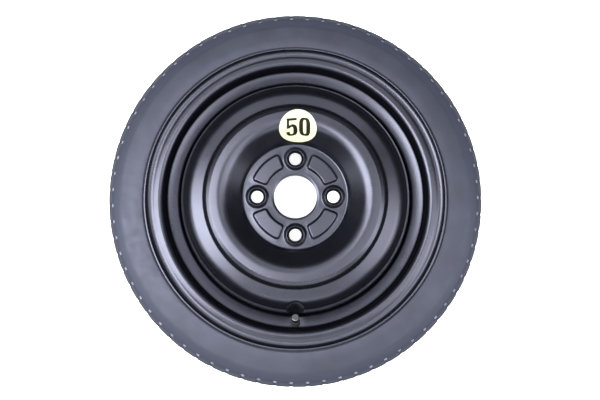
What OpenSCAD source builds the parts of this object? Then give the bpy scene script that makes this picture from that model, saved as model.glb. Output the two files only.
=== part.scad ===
// Space saver spare wheel: a pressed disc welded into a rolled rim, with a narrow tyre and a snap-in valve.
// It lies flat with its outboard face up. The origin is the centre of the bore on the hub's mounting face.

/* [Rim] */
// Diameter over the bead seats, at the flanges
rim_seat_d = 354.8; // [340:0.1:370]
// Width between the flanges
rim_width = 101.6; // [90:0.1:115]
// Thickness of the rolled strip
rim_t = 2.5; // [2:0.1:3]
// Height of the flanges over the bead seats
flange_h = 22; // [16:0.1:23]
// Width of each flange
flange_w = 8; // [7.5:0.1:11]
// Radius of the flange's curl, on the tyre's side
flange_curl = 8; // [7:0.1:8.6]
// Lean of the flange's wall towards the tyre, over its height
flange_lean = 1.4; // [0.5:0.1:2]
// Depth of the well below the inner ends of the bead seats
well_depth = 15.4; // [13:0.1:18]
// Width of each bead seat
seat_w = 20.3; // [18:0.1:22]
// Taper of the bead seats in degrees
seat_taper = 5; // [4:0.5:6]
// Radius between a bead seat and its flange, on the tyre's side
heel_fillet = 5; // [4.5:0.1:6.5]
// Slope of the well's outboard wall in degrees
front_slope = 24; // [22:1:28]
// Slope of the well's inboard wall in degrees
rear_slope = 46; // [40:1:50]
// Distance from the rim's middle to the hub's mounting face
wheel_offset = 55.5; // [52:0.5:60]

/* [Disc] */
// Thickness of the pressed sheet
disc_t = 3.5; // [3:0.1:4]
// Width of the flat plate outside the bolt circle
plate_margin = 19; // [18.5:0.1:22]
// Width of the short steep riser round the plate
riser_run = 3.2; // [2:0.1:6]
// Height of that riser
riser_rise = 4.8; // [3:0.1:8]
// Width of the cone from the riser to the crest
cone_run = 22; // [19:0.1:24]
// Height of the crest over the mounting face
crest_h = 24.3; // [22:0.1:26]
// Width of the crest, from the cone's line to its outer edge
crest_w = 15.8; // [13:0.1:18]
// Width of the crest's sloping edge, from the flat crest to the step
brow_run = 5.3; // [4:0.1:7]
// Height of the step outside the crest
step_h = 7.5; // [6:0.1:8.5]
// Width of the tier outside the step
tier_run = 12.4; // [10:0.1:14]
// Distance from the skirt's end to the corner where the well's inboard wall starts
skirt_clearance = 7; // [5:0.5:9]
// Length of the skirt's straight end, which sits in the rim's well
skirt_seat = 24; // [20:0.5:27]
// Radius of the pocket that clears the valve
pocket_r = 13; // [11:0.1:15]
// Distance of the pocket's axis from the valve's axis
pocket_offset = -0.9; // [-2:0.1:2]
// Number of welds between the disc and the rim
weld_count = 8; // [4:1:12]
// Angle that each weld covers, in degrees
weld_angle = 18; // [12:1:24]

/* [Hub] */
// Diameter of the centre bore
bore_d = 56.1; // [54:0.1:60]
// Diameter of the circle through the bolt holes
bolt_circle_d = 100; // [98:0.1:102]
// Number of bolt holes
bolt_count = 4; // [3:1:4]
// Diameter of each bolt hole
bolt_hole_d = 16; // [14:0.1:17]
// Diameter of the nut's conical seat at its mouth
seat_mouth_d = 22; // [20:0.1:22.5]
// Height of the bosses round the bolt holes
boss_h = 3.2; // [2.5:0.1:3.5]
// Diameter of the bosses at their top
boss_top_d = 25.2; // [25:0.1:27]
// Diameter of the bosses at their foot
boss_foot_d = 31.6; // [30:0.1:32.5]
// Width of the raised pads inside the bolt circle
pad_in = 9.9; // [7:0.1:11]
// Width of the pads outside the bolt circle
pad_out = 10.8; // [8:0.1:12]
// Angle from the middle of a pad to its end
pad_half_angle = 24; // [20:0.5:25]
// Height of the pads
pad_h = 2.4; // [2:0.1:3]
// Radius of the pads' corners
pad_corner = 4.5; // [3:0.1:5]

/* [Tyre] */
// Height of the tyre over the bead seats
tyre_h = 73.9; // [68:0.1:80]
// Distance that each sidewall stands out past the bead's face
tyre_bulge = 1.7; // [1:0.1:3]
// Width of each shoulder outside the tread
shoulder_w = 11.5; // [9:0.5:14]
// Width of each bead on its seat
bead_w = 16; // [14:0.1:18]
// Thickness of the sidewalls
sidewall_t = 5.5; // [4:0.1:7]
// Thickness of the tyre under the tread
crown_t = 11; // [9:0.1:13]
// Depth of the tread's grooves
groove_depth = 4.5; // [3:0.1:5]
// Width of the grooves that run round the tyre
groove_w = 5; // [3:0.1:7]
// Distance between the grooves that run round the tyre
groove_pitch = 17; // [14:0.5:19]
// Number of notches round each shoulder
notch_count = 71; // [60:1:80]
// Width of each notch
notch_w = 3; // [2:0.1:4]
// Depth of each notch at the tread's edge
notch_depth = 2.5; // [1.5:0.1:4]

/* [Valve] */
// Diameter of the hole in the rim
valve_hole_d = 11.5; // [11:0.1:12]
// Distance from the well's floor out to the hole's middle
valve_rise = 6.2; // [6:0.1:7]
// Length of the rubber over the rim
rubber_h = 12; // [11:0.5:14]
// Diameter of the rubber's bulge over the rim
rubber_bulge_d = 13.2; // [12.6:0.1:13.2]
// Length of the thread over the rubber
thread_h = 8.5; // [8:0.1:10]
// Diameter of the thread
thread_d = 7.7; // [7.5:0.1:7.9]
// Bore of the stem round the core
core_bore_d = 5.3; // [5:0.1:5.5]
// Height of the core's pin over the core's plug
pin_out = 0.9; // [0.5:0.1:1.1]
// Diameter of the cap
cap_d = 10.4; // [10:0.1:11]
// Height of the cap
cap_h = 10; // [9.5:0.1:11]

/* [Label] */
// Diameter of the round label
label_d = 49.3; // [45:0.1:52]
// Thickness of the label
label_t = 0.3; // [0.2:0.05:0.5]
// Distance along the disc's face from the plate's edge to the label's near edge
label_gap = 3.6; // [1:0.1:5]
// Angle from +Y to the label's middle, turned towards +X
label_turn = 2.2; // [0:0.1:4]

/* [Hidden] */
$fn = 96;

// Degrees of a round corner that one straight facet covers
arc_step = 9;
// Gap between pieces pressed or seated together
seat_gap = 0.1;
// Small overrun that lets a cut pass through a face
over = 1;

// Rim
rim_mid_z = -wheel_offset;
seat_r = rim_seat_d / 2;
flange_r = seat_r + flange_h;
half_width = rim_width / 2;
lip_w = half_width + flange_w;
lip_round = 0.8;
seat_end_w = half_width - seat_w;
seat_end_r = seat_r - seat_w * tan(seat_taper);
well_r = seat_end_r - well_depth;
front_well_w = seat_end_w - (seat_end_r - well_r) * tan(front_slope);
rear_well_w = -seat_end_w + (seat_end_r - well_r) * tan(rear_slope);
well_top_fillet = 4;
well_front_fillet = 2;
well_rear_fillet = 8;

// Disc
bore_r = bore_d / 2;
bolt_circle_r = bolt_circle_d / 2;
plate_r = bolt_circle_r + plate_margin;
plate_bend = 3;
riser_r = plate_r + riser_run;
riser_h = disc_t + riser_rise;
riser_bend = 5;
crest_r = riser_r + cone_run;
crest_bend = 24;
brow_r = crest_r + crest_w;
brow_bend = 5;
brow_drop = 1.6;
step_run = 4.4;
step_r = brow_r + brow_run + step_run;
step_edge = 2.5;
step_bend = 3;
crest_end_h = crest_h - brow_drop;
tier_h = crest_end_h - step_h;
tier_drop = 1.9;
shoulder_r = step_r + tier_run;
shoulder_h = tier_h - tier_drop;
shoulder_bend = 20;
skirt_r = well_r - rim_t - seat_gap;
skirt_end_z = rim_mid_z + rear_well_w + skirt_clearance;
skirt_top_z = skirt_end_z + skirt_seat;
skirt_bend = 20;
neck_r = skirt_r - 8.6;
neck_h = -7.5;
neck_bend = 24;
bore_chamfer_r = 3;
bore_chamfer_h = 1.2;
boss_foot_r = boss_foot_d / 2;
boss_top_r = boss_top_d / 2;
boss_edge = 0.4;
boss_recess_r = boss_top_r - 1;
boss_recess_h = boss_h / 3;
seat_cone_angle = 30;
seat_mouth_r = seat_mouth_d / 2;
bolt_hole_r = bolt_hole_d / 2;
seat_cone_h = (seat_mouth_r - bolt_hole_r) / tan(seat_cone_angle);
pad_inner_r = bolt_circle_r - pad_in;
pad_outer_r = bolt_circle_r + pad_out;
pad_side = 2.4;
recess_low = 0.6;
recess_high = 2.8;
weld_leg = disc_t;
pocket_low = -15;
pocket_high = 60;

// Tyre
tyre_r = seat_r + tyre_h;
tyre_half = half_width + tyre_bulge;
tread_half = tyre_half - shoulder_w;
tread_drop = 2;
inner_half = tyre_half - sidewall_t;
bulge_reach = 10;
bulge_bend = 60;
upper_reach = 20;
upper_drop = 1.2;
upper_bend = 20;
shoulder_reach = 9;
shoulder_out = 6.2;
shoulder_bend_r = 12;
tread_edge = 4;
inner_reach = 26;
inner_bend = 10;
notch_fall = 34;
notch_reach = 15;
bead_toe_w = half_width - bead_w;
bead_toe_r = seat_r - bead_w * tan(seat_taper) + seat_gap;
bead_face_w = half_width - seat_gap;
bead_ease = 0.4;
bead_wall_w = bead_face_w - flange_lean;
bead_rise = 0.4;
bead_bend = 4;
foot_reach = 3.6;
foot_drop = 0.8;
groove_flare = 0.4;

// Valve, in heights over the rim's surface along the valve's own axis
valve_r = well_r + valve_rise;
stem_tip = rubber_h + thread_h;
thread_r = thread_d / 2;
stem_r = thread_r - 0.75;
stem_foot = -rim_t - 4.8;
core_top = stem_tip - 1.2;
plug_foot = core_top - 4;
neck_h_in_plug = 1.2;
barrel_foot = core_top - 10;
barrel_r = 1.9;
barrel_bore_r = 1.3;
pin_hole_r = 0.62;
bore_step = barrel_foot - 0.3;
spring_foot = barrel_foot + 1.4;
gasket_foot = spring_foot + 1;
gasket_h = 2.4;
gasket_groove_r = 1.5;
collar_z = core_top - 3.2;
collar_r = 1.15;
pin_r = 0.55;
cup_foot = barrel_foot - 2.3;
cup_r = 1.7;
pin_foot = cup_foot - 0.6;
washer_r = 1.45;
washer_foot = barrel_foot - 1.5;
cap_foot = rubber_h + 0.3;
cap_top = cap_foot + cap_h;
cap_r = cap_d / 2;
cap_room = 0.8;

// Points of an arc, and of an arc that rounds the corner b between a and c, where b[2] is the radius
function on_circle(r, a) = r * [cos(a), sin(a)];
function arc(centre, r, from, to, steps) = [for (i = [0:steps]) centre + on_circle(r, from + (to - from) * i / steps)];
function unit(v) = v / norm(v);
function plane(p) = [p[0], p[1]];
function corner_arc(a, b, c) =
    let (
        u = unit(plane(a) - plane(b)),
        v = unit(plane(c) - plane(b)),
        half = acos(u * v) / 2,
        centre = plane(b) + unit(u + v) * b[2] / sin(half),
        first = plane(b) + u * b[2] / tan(half) - centre,
        last = plane(b) + v * b[2] / tan(half) - centre,
        from = atan2(first[1], first[0]),
        raw = atan2(last[1], last[0]) - from,
        sweep = raw > 180 ? raw - 360 : raw < -180 ? raw + 360 : raw
    )
    arc(centre, b[2], from, from + sweep, max(1, ceil(abs(sweep) / arc_step)));

// An outline through corners [x, y, radius], with each corner that has a radius made round
function rounded(corners) = [
    for (i = [0:len(corners) - 1])
        each (i == 0 || i == len(corners) - 1 || len(corners[i]) < 3)
            ? [plane(corners[i])]
            : corner_arc(corners[i - 1], corners[i], corners[i + 1])
];

// The same line moved sideways, to the right of its direction for a positive distance
function side(a, b) = let (d = unit(b - a)) [d[1], -d[0]];
function joint_side(line, i) =
    let (
        last = len(line) - 1,
        before = side(line[max(i - 1, 0)], line[max(i, 1)]),
        after = side(line[min(i, last - 1)], line[min(i + 1, last)]),
        middle = unit(before + after)
    )
    middle / (middle * after);
function moved(line, distance) = [for (i = [0:len(line) - 1]) line[i] + distance * joint_side(line, i)];
function reversed(line) = [for (i = [len(line) - 1:-1:0]) line[i]];

// The strip of sheet between a line and the same line moved sideways
function sheet(line, thickness) = concat(line, reversed(moved(line, thickness)));

// The rim's surface on the tyre's side, from the outboard lip to the inboard lip, in radius and width
rim_line = rounded([
    [flange_r, lip_w],
    [flange_r, half_width - flange_lean, flange_curl],
    [seat_r, half_width, heel_fillet],
    [seat_end_r, seat_end_w, well_top_fillet],
    [well_r, front_well_w, well_front_fillet],
    [well_r, rear_well_w, well_rear_fillet],
    [seat_end_r, -seat_end_w, well_top_fillet],
    [seat_r, -half_width, heel_fillet],
    [flange_r, -half_width + flange_lean, flange_curl],
    [flange_r, -lip_w]
]);

// The disc's outboard face, from the bore to the end of the skirt, in radius and height
disc_line = rounded([
    [bore_r, disc_t],
    [plate_r, disc_t, plate_bend],
    [riser_r, riser_h, riser_bend],
    [crest_r, crest_h, crest_bend],
    [brow_r, crest_h, brow_bend],
    [step_r - step_run, crest_end_h, step_edge],
    [step_r, tier_h, step_bend],
    [shoulder_r, shoulder_h, shoulder_bend],
    [neck_r, neck_h, neck_bend],
    [skirt_r, skirt_top_z, skirt_bend],
    [skirt_r, skirt_end_z]
]);

// Where the valve stands: the outboard face of the well's sloping wall
valve_z = rim_mid_z + front_well_w + (valve_r - well_r) * tan(front_slope) + rim_t / cos(front_slope);

module at_valve() {
    translate([0, -valve_r, valve_z]) rotate([-front_slope, 0, 0]) children();
}

module at_pocket() {
    at_valve() translate([0, pocket_offset, 0]) children();
}

// A solid turned about the axis from [radius, height] pairs
module turned(outline) {
    rotate_extrude() polygon(outline);
}

module rod(r, from, to) {
    translate([0, 0, from]) cylinder(r = r, h = to - from);
}

// Tyre
// Half of the tyre's section, from the bead's toe out over the sidewall to the middle of the tread
tyre_outer = rounded([
    [bead_toe_r, bead_toe_w],
    [seat_r + seat_gap, bead_face_w, heel_fillet + bead_ease],
    [flange_r - flange_curl, bead_wall_w],
    [flange_r - seat_gap, bead_wall_w + bead_rise, bead_bend],
    [flange_r + foot_reach, tyre_half - foot_drop, bead_bend],
    [flange_r + bulge_reach, tyre_half, bulge_bend],
    [tyre_r - upper_reach, tyre_half - upper_drop, upper_bend],
    [tyre_r - shoulder_reach, tread_half + shoulder_out, shoulder_bend_r],
    [tyre_r - tread_drop, tread_half, tread_edge],
    [tyre_r - tread_drop / 4, tread_half / 2],
    [tyre_r, 0]
]);

// The inside of that half, from the middle of the tread back to the bead's toe
tyre_inner = rounded([
    [tyre_r - crown_t, 0],
    [tyre_r - crown_t - 1, tread_half - 4, shoulder_bend_r],
    [tyre_r - inner_reach, inner_half, inner_bend],
    [seat_r + inner_reach, inner_half, inner_bend],
    [seat_r + inner_reach / 2, bead_toe_w + bead_w / 2, inner_bend],
    [bead_toe_r + 2, bead_toe_w]
]);

function mirrored(line) = [for (p = line) [p[0], -p[1]]];
function without_first(line) = [for (i = [1:len(line) - 1]) line[i]];
tyre_section = concat(
    tyre_outer,
    without_first(mirrored(reversed(tyre_outer))),
    mirrored(reversed(tyre_inner)),
    without_first(tyre_inner)
);

module tyre() {
    color("#2d2e33")
    difference() {
        translate([0, 0, rim_mid_z]) turned(tyre_section);
        for (i = [-1:1]) {
            translate([0, 0, rim_mid_z + i * groove_pitch]) tread_groove();
        }
        for (i = [0:notch_count - 1]) {
            rotate([0, 0, i * 360 / notch_count]) shoulder_notch(1);
            rotate([0, 0, (i + 0.5) * 360 / notch_count]) shoulder_notch(-1);
        }
    }
}

// A groove that runs right round the tread
module tread_groove() {
    low = groove_w / 2 - groove_flare;
    high = groove_w / 2 + groove_flare;
    turned([
        [tyre_r - groove_depth, -low],
        [tyre_r + over, -high],
        [tyre_r + over, high],
        [tyre_r - groove_depth, low]
    ]);
}

// A slot across the tread's edge, which runs out down the shoulder
module shoulder_notch(way) {
    translate([tyre_r - tread_drop - notch_depth, 0, rim_mid_z + way * tread_half])
    rotate([0, way * -notch_fall, 0])
    translate([0, -notch_w / 2, -notch_reach])
    cube([notch_reach, notch_w, notch_reach * 2]);
}

// Rim
module rim() {
    color("#26272c")
    difference() {
        translate([0, 0, rim_mid_z]) turned(sheet(rim_line, rim_t));
        for (way = [-1, 1]) {
            translate([0, 0, rim_mid_z + way * lip_w]) lip_chamfer(way);
        }
        at_valve() rod(valve_hole_d / 2, -rim_t - over, over);
    }
}

// Takes the sharp corners off a lip's cut edge
module lip_chamfer(way) {
    for (edge = [[flange_r, 1], [flange_r - rim_t, -1]]) {
        turned([
            [edge[0] - edge[1] * lip_round, way * over],
            [edge[0] - edge[1] * lip_round, 0],
            [edge[0], -way * lip_round],
            [edge[0] + edge[1] * over, -way * lip_round],
            [edge[0] + edge[1] * over, way * over]
        ]);
    }
}

// Disc
module disc() {
    color("#2a2b31")
    difference() {
        union() {
            turned(sheet(disc_line, disc_t));
            at_bolts() boss();
            at_pads() raised_pad();
            intersection() {
                at_pocket() rod(pocket_r + disc_t, pocket_low, pocket_high);
                turned(concat([[0, skirt_end_z], [0, disc_t]], disc_line));
            }
        }
        rod(bore_r, -over, disc_t + over);
        translate([0, 0, disc_t - bore_chamfer_h])
        cylinder(r1 = bore_r, r2 = bore_r + bore_chamfer_r, h = bore_chamfer_h);
        at_bolts() bolt_hole();
        at_pads() pad_recess();
        at_pocket() rod(pocket_r, pocket_low - over, pocket_high + over);
    }
}

module at_bolts() {
    for (i = [0:bolt_count - 1]) {
        rotate([0, 0, i * 360 / bolt_count]) translate([0, bolt_circle_r, 0]) children();
    }
}

module at_pads() {
    for (i = [0:bolt_count - 1]) {
        rotate([0, 0, 90 + (i + 0.5) * 360 / bolt_count]) children();
    }
}

// The raised ring that the nut's seat is formed in
module boss() {
    turned([
        [bolt_hole_r - over, disc_t / 2],
        [boss_foot_r, disc_t / 2],
        [boss_foot_r, disc_t + boss_edge / 2],
        [boss_top_r, disc_t + boss_h - boss_edge],
        [boss_top_r - boss_edge * 2, disc_t + boss_h],
        [bolt_hole_r - over, disc_t + boss_h]
    ]);
}

module bolt_hole() {
    rod(bolt_hole_r, -over, disc_t + boss_h + over);
    translate([0, 0, disc_t + boss_h - seat_cone_h])
    cylinder(r1 = bolt_hole_r, r2 = seat_mouth_r, h = seat_cone_h);
    translate([0, 0, -over])
    cylinder(r1 = boss_recess_r + over, r2 = boss_recess_r - boss_recess_h, h = boss_recess_h + over);
}

// A kidney shape: part of a ring with round corners, drawn smaller by inset
function kidney(inset) =
    let (
        c = pad_corner - inset,
        out_r = pad_outer_r - pad_corner,
        in_r = pad_inner_r + pad_corner,
        out_a = pad_half_angle - asin(pad_corner / out_r),
        in_a = pad_half_angle - asin(pad_corner / in_r),
        side_a = pad_half_angle + 90
    )
    concat(
        arc([0, 0], pad_outer_r - inset, -out_a * 0.8, out_a * 0.8, 6),
        arc(on_circle(out_r, out_a), c, out_a, side_a, 5),
        arc(on_circle(in_r, in_a), c, side_a, in_a + 180, 5),
        arc([0, 0], pad_inner_r + inset, in_a * 0.8, -in_a * 0.8, 6),
        arc(on_circle(in_r, -in_a), c, 180 - in_a, 360 - side_a, 5),
        arc(on_circle(out_r, -out_a), c, 360 - side_a, 360 - out_a, 5)
    );

// Joins two outlines of as many points, one above the other, into a solid with sloping sides
module loft(low, high, from, to) {
    n = len(low);
    polyhedron(
        points = concat([for (p = low) [p[0], p[1], from]], [for (p = high) [p[0], p[1], to]]),
        faces = concat(
            [[for (i = [0:n - 1]) i]],
            [[for (i = [n - 1:-1:0]) n + i]],
            [for (i = [0:n - 1]) [i, n + i, n + (i + 1) % n, (i + 1) % n]]
        )
    );
}

module raised_pad() {
    loft(kidney(0), kidney(pad_side), disc_t / 2, disc_t + pad_h);
}

module pad_recess() {
    loft(kidney(recess_low), kidney(recess_high), -over, pad_h);
}

// Welds, at the end of the disc's skirt
module weld_beads() {
    color("#3a3a3e")
    for (i = [0:weld_count - 1]) {
        rotate([0, 0, (i + 0.5) * 360 / weld_count - weld_angle / 2])
        rotate_extrude(angle = weld_angle)
        polygon([
            [skirt_r - weld_leg, skirt_end_z],
            [skirt_r + seat_gap, skirt_end_z],
            [skirt_r + seat_gap, skirt_end_z - weld_leg],
            [skirt_r - weld_leg * 0.35, skirt_end_z - weld_leg * 0.75],
            [skirt_r - weld_leg * 0.75, skirt_end_z - weld_leg * 0.35]
        ]);
    }
}

// Length along a line up to each of its points, and the radius where a length is reached
function length_to(line, i) = i == 0 ? 0 : norm(line[i] - line[i - 1]) + length_to(line, i - 1);
function radius_at(line, length, i = 1) =
    let (gone = length_to(line, i - 1), step = norm(line[i] - line[i - 1]))
    (length <= gone + step || i == len(line) - 1)
        ? line[i - 1][0] + (line[i][0] - line[i - 1][0]) * (length - gone) / step
        : radius_at(line, length, i + 1);

// A round label laid on the curved face: its outline is round along the surface
module label() {
    r = label_d / 2;
    face = moved(disc_line, -seat_gap / 2);
    label_start = plate_r - bore_r + label_gap;
    outline = [for (a = [0:7.5:352.5])
        let (
            place = radius_at(disc_line, label_start + r + r * sin(a)),
            turn = 90 - label_turn - r * cos(a) / place * 180 / PI
        )
        place * [cos(turn), sin(turn)]];
    color("#eef2cf")
    intersection() {
        turned(sheet(face, -label_t));
        linear_extrude(crest_h * 2) polygon(outline);
    }
}

// Valve
module valve_rubber() {
    hole_r = valve_hole_d / 2 - seat_gap;
    bulge_r = rubber_bulge_d / 2;
    foot_z = -rim_t - seat_gap;
    color("#1d1d20")
    at_valve()
    difference() {
        turned([
            [0, foot_z - 3.6],
            [bulge_r, foot_z - 3.6],
            [bulge_r + 1.6, foot_z - 2.6],
            [bulge_r + 1.6, foot_z - 1.8],
            [bulge_r, foot_z],
            [hole_r, foot_z],
            [hole_r, seat_gap],
            [bulge_r, seat_gap],
            [bulge_r, 2.4],
            [bulge_r - 0.6, 5],
            [bulge_r - 1, rubber_h - 0.8],
            [bulge_r - 1.8, rubber_h],
            [0, rubber_h]
        ]);
        rod(stem_r + seat_gap / 2, stem_foot - over, rubber_h + over);
    }
}

module valve_stem() {
    chamfer = 0.4;
    color("#c9a24f")
    at_valve()
    difference() {
        union() {
            rod(stem_r, stem_foot, rubber_h);
            rod(thread_r, rubber_h, stem_tip - chamfer);
            translate([0, 0, stem_tip - chamfer]) cylinder(r1 = thread_r, r2 = thread_r - chamfer, h = chamfer);
        }
        rod(cup_r + 0.15, stem_foot - over, bore_step);
        rod(core_bore_d / 2 - 0.3, bore_step, stem_tip);
        rod(core_bore_d / 2, plug_foot - over, stem_tip + over);
    }
}

// The core's lower body, which holds the spring and is hung from the plug
module core_barrel() {
    color("#cfaa5a")
    at_valve()
    difference() {
        union() {
            rod(barrel_r, barrel_foot, plug_foot);
            rod(barrel_r - 0.25, plug_foot, plug_foot + neck_h_in_plug);
        }
        rod(pin_hole_r, barrel_foot - over, spring_foot);
        rod(barrel_bore_r, spring_foot, core_top + over);
        difference() {
            rod(barrel_r + over, gasket_foot, gasket_foot + gasket_h);
            rod(gasket_groove_r, gasket_foot - over, gasket_foot + gasket_h + over);
        }
    }
}

// The plug screwed into the stem, with a slot across its top for the key
module core_plug() {
    slot_w = 1.4;
    slot_depth = 1.1;
    color("#d3b062")
    at_valve()
    difference() {
        rod(core_bore_d / 2 - seat_gap / 2, plug_foot + 0.05, core_top);
        rod(barrel_r - 0.2, plug_foot - over, plug_foot + neck_h_in_plug + 0.05);
        rod(barrel_bore_r, plug_foot - over, core_top + over);
        translate([-core_bore_d, -slot_w / 2, core_top - slot_depth])
        cube([core_bore_d * 2, slot_w, slot_depth + over]);
    }
}

module core_gasket() {
    inner = gasket_groove_r + 0.02;
    outer = core_bore_d / 2 - 0.35;
    color("#b23a30")
    at_valve()
    turned([
        [inner, gasket_foot + 0.05],
        [outer - 0.2, gasket_foot + 0.05],
        [outer, gasket_foot + 0.8],
        [outer, gasket_foot + gasket_h - 0.05],
        [inner, gasket_foot + gasket_h - 0.05]
    ]);
}

// The pin that is pressed to let air in or out
module core_pin() {
    color("#d8b76a")
    at_valve() {
        rod(pin_r, pin_foot, core_top + pin_out);
        rod(collar_r, collar_z, collar_z + 0.5);
        rod(collar_r - 0.2, pin_foot, cup_foot - 0.02);
    }
}

// The brass cup on the pin's foot
module core_cup() {
    color("#c8a352")
    at_valve()
    difference() {
        rod(cup_r, cup_foot, barrel_foot - 0.6);
        rod(washer_r, washer_foot, barrel_foot);
        rod(pin_r + 0.01, cup_foot - over, barrel_foot);
    }
}

// The rubber washer in the cup, which closes the barrel's foot
module core_washer() {
    color("#202024")
    at_valve()
    difference() {
        rod(washer_r - 0.02, washer_foot + 0.02, barrel_foot - 0.05);
        rod(pin_r + 0.02, washer_foot - over, barrel_foot + over);
    }
}

// The spring that holds the pin up, as a wire swept along a helix
module core_spring() {
    wire_r = 0.16;
    coil_r = 0.93;
    turns = 5;
    per_turn = 14;
    sides = 6;
    low = spring_foot + wire_r + 0.02;
    high = collar_z - wire_r - 0.02;
    steps = turns * per_turn;
    points = [for (i = [0:steps], k = [0:sides - 1])
        let (a = 360 * i / per_turn, out = coil_r + wire_r * cos(360 * k / sides))
        [out * cos(a), out * sin(a), low + (high - low) * i / steps + wire_r * sin(360 * k / sides)]];
    walls = [for (i = [0:steps - 1], k = [0:sides - 1])
        [i * sides + k, i * sides + (k + 1) % sides, (i + 1) * sides + (k + 1) % sides, (i + 1) * sides + k]];
    ends = [[for (k = [sides - 1:-1:0]) k], [for (k = [0:sides - 1]) steps * sides + k]];
    color("#b9bcc2")
    at_valve() polyhedron(points = points, faces = concat(walls, ends));
}

module valve_cap() {
    grips = 18;
    grip_r = 0.45;
    edge = 0.3;
    crown = 1;
    color("#b4b7bd")
    at_valve()
    difference() {
        turned([
            [0, cap_foot],
            [cap_r - edge, cap_foot],
            [cap_r, cap_foot + edge],
            [cap_r, cap_top - crown],
            [cap_r - edge, cap_top - edge],
            [cap_r - crown, cap_top],
            [0, cap_top]
        ]);
        rod(thread_r + seat_gap, cap_foot - over, stem_tip + cap_room);
        for (i = [0:grips - 1]) {
            rotate([0, 0, i * 360 / grips])
            translate([cap_r + edge / 2, 0, cap_foot + 1.5])
            cylinder(r = grip_r, h = cap_h - 3.2, $fn = 24);
        }
    }
}

// The rubber disc inside the cap
module cap_seal() {
    color("#26262a")
    at_valve() rod(thread_r, stem_tip + 0.05, stem_tip + cap_room - 0.02);
}

tyre();
rim();
disc();
weld_beads();
label();
valve_rubber();
valve_stem();
core_barrel();
core_plug();
core_gasket();
core_pin();
core_cup();
core_washer();
core_spring();
valve_cap();
cap_seal();
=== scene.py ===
import bmesh
import bpy
import math
import numpy as np
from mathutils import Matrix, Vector
from mathutils.geometry import delaunay_2d_cdt


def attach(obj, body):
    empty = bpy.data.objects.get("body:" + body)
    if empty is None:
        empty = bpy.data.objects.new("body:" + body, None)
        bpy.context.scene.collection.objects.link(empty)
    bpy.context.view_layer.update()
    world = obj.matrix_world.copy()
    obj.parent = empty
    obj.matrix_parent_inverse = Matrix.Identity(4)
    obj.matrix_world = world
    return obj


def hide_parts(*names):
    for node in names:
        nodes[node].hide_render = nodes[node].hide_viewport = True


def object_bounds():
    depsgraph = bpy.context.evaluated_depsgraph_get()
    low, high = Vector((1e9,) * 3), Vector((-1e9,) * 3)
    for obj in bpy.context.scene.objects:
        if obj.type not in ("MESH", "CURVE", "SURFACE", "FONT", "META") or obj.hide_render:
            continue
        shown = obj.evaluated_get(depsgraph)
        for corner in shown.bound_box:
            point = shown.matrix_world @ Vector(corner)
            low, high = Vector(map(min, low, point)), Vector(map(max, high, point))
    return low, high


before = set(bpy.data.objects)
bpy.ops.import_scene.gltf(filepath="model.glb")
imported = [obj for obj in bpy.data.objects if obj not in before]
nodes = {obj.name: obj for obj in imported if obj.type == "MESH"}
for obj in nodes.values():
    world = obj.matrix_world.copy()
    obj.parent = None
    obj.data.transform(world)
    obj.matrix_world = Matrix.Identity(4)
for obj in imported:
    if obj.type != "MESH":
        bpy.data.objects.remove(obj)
cad_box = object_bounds()
MM = 0.001

# Sizes in millimetres, as in the CAD part. Z is the wheel's axis, with 0 at the hub's face.
# R is a distance from the axis, W a distance along it from the rim's middle plane.
FIT = 0.1

# Rim
MID_Z = -55.5
RIM_T = 2.5
HALF_W = 50.8
LIP_W = 58.8
FLANGE_R = 199.4
FLANGE_LEAN = 1.4
SEAT_R = 177.4
SEAT_TAPER = math.radians(5)
SEAT_END_W = 30.5
SEAT_END_R = SEAT_R - (HALF_W - SEAT_END_W) * math.tan(SEAT_TAPER)
WELL_DEPTH = 15.4
WELL_R = SEAT_END_R - WELL_DEPTH
FRONT_SLOPE = math.radians(24)
REAR_SLOPE = math.radians(46)
FRONT_W = SEAT_END_W - WELL_DEPTH * math.tan(FRONT_SLOPE)
REAR_W = -SEAT_END_W + WELL_DEPTH * math.tan(REAR_SLOPE)

# Disc
DISC_T = 3.5
BORE_R = 28.05
BOLT_CIRCLE_R = 50.0
BOLT_HOLE_R = 8.0
PLATE_R = 69
CREST_H = 24.3
CREST_END = CREST_H - 1.6
TIER_H = CREST_END - 7.5
SKIRT_R = WELL_R - RIM_T - FIT
SKIRT_END = MID_Z + REAR_W + 7
POCKET_R = 13.0
POCKET_OFFSET = -0.9

# Valve, on the well's front slope below the bore
VALVE_R = WELL_R + 6.2
VALVE_Z = (MID_Z + FRONT_W + (VALVE_R - WELL_R) * math.tan(FRONT_SLOPE)
           + RIM_T / math.cos(FRONT_SLOPE))
VALVE_HOLE_R = 5.75

# Tyre
TYRE_R = 251.3
TYRE_HALF = 52.5
TREAD_HALF = 41.0
BEAD_W = 16
NOTCHES = 71
NOTCH_PITCH = 360 / NOTCHES
NOTCH_R = 247
NOTCH_FLOOR = math.degrees(2.1 / NOTCH_R)
NOTCH_MOUTH = math.degrees(2.45 / NOTCH_R)
NOTCH_END_W = 33


# Outlines

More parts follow.
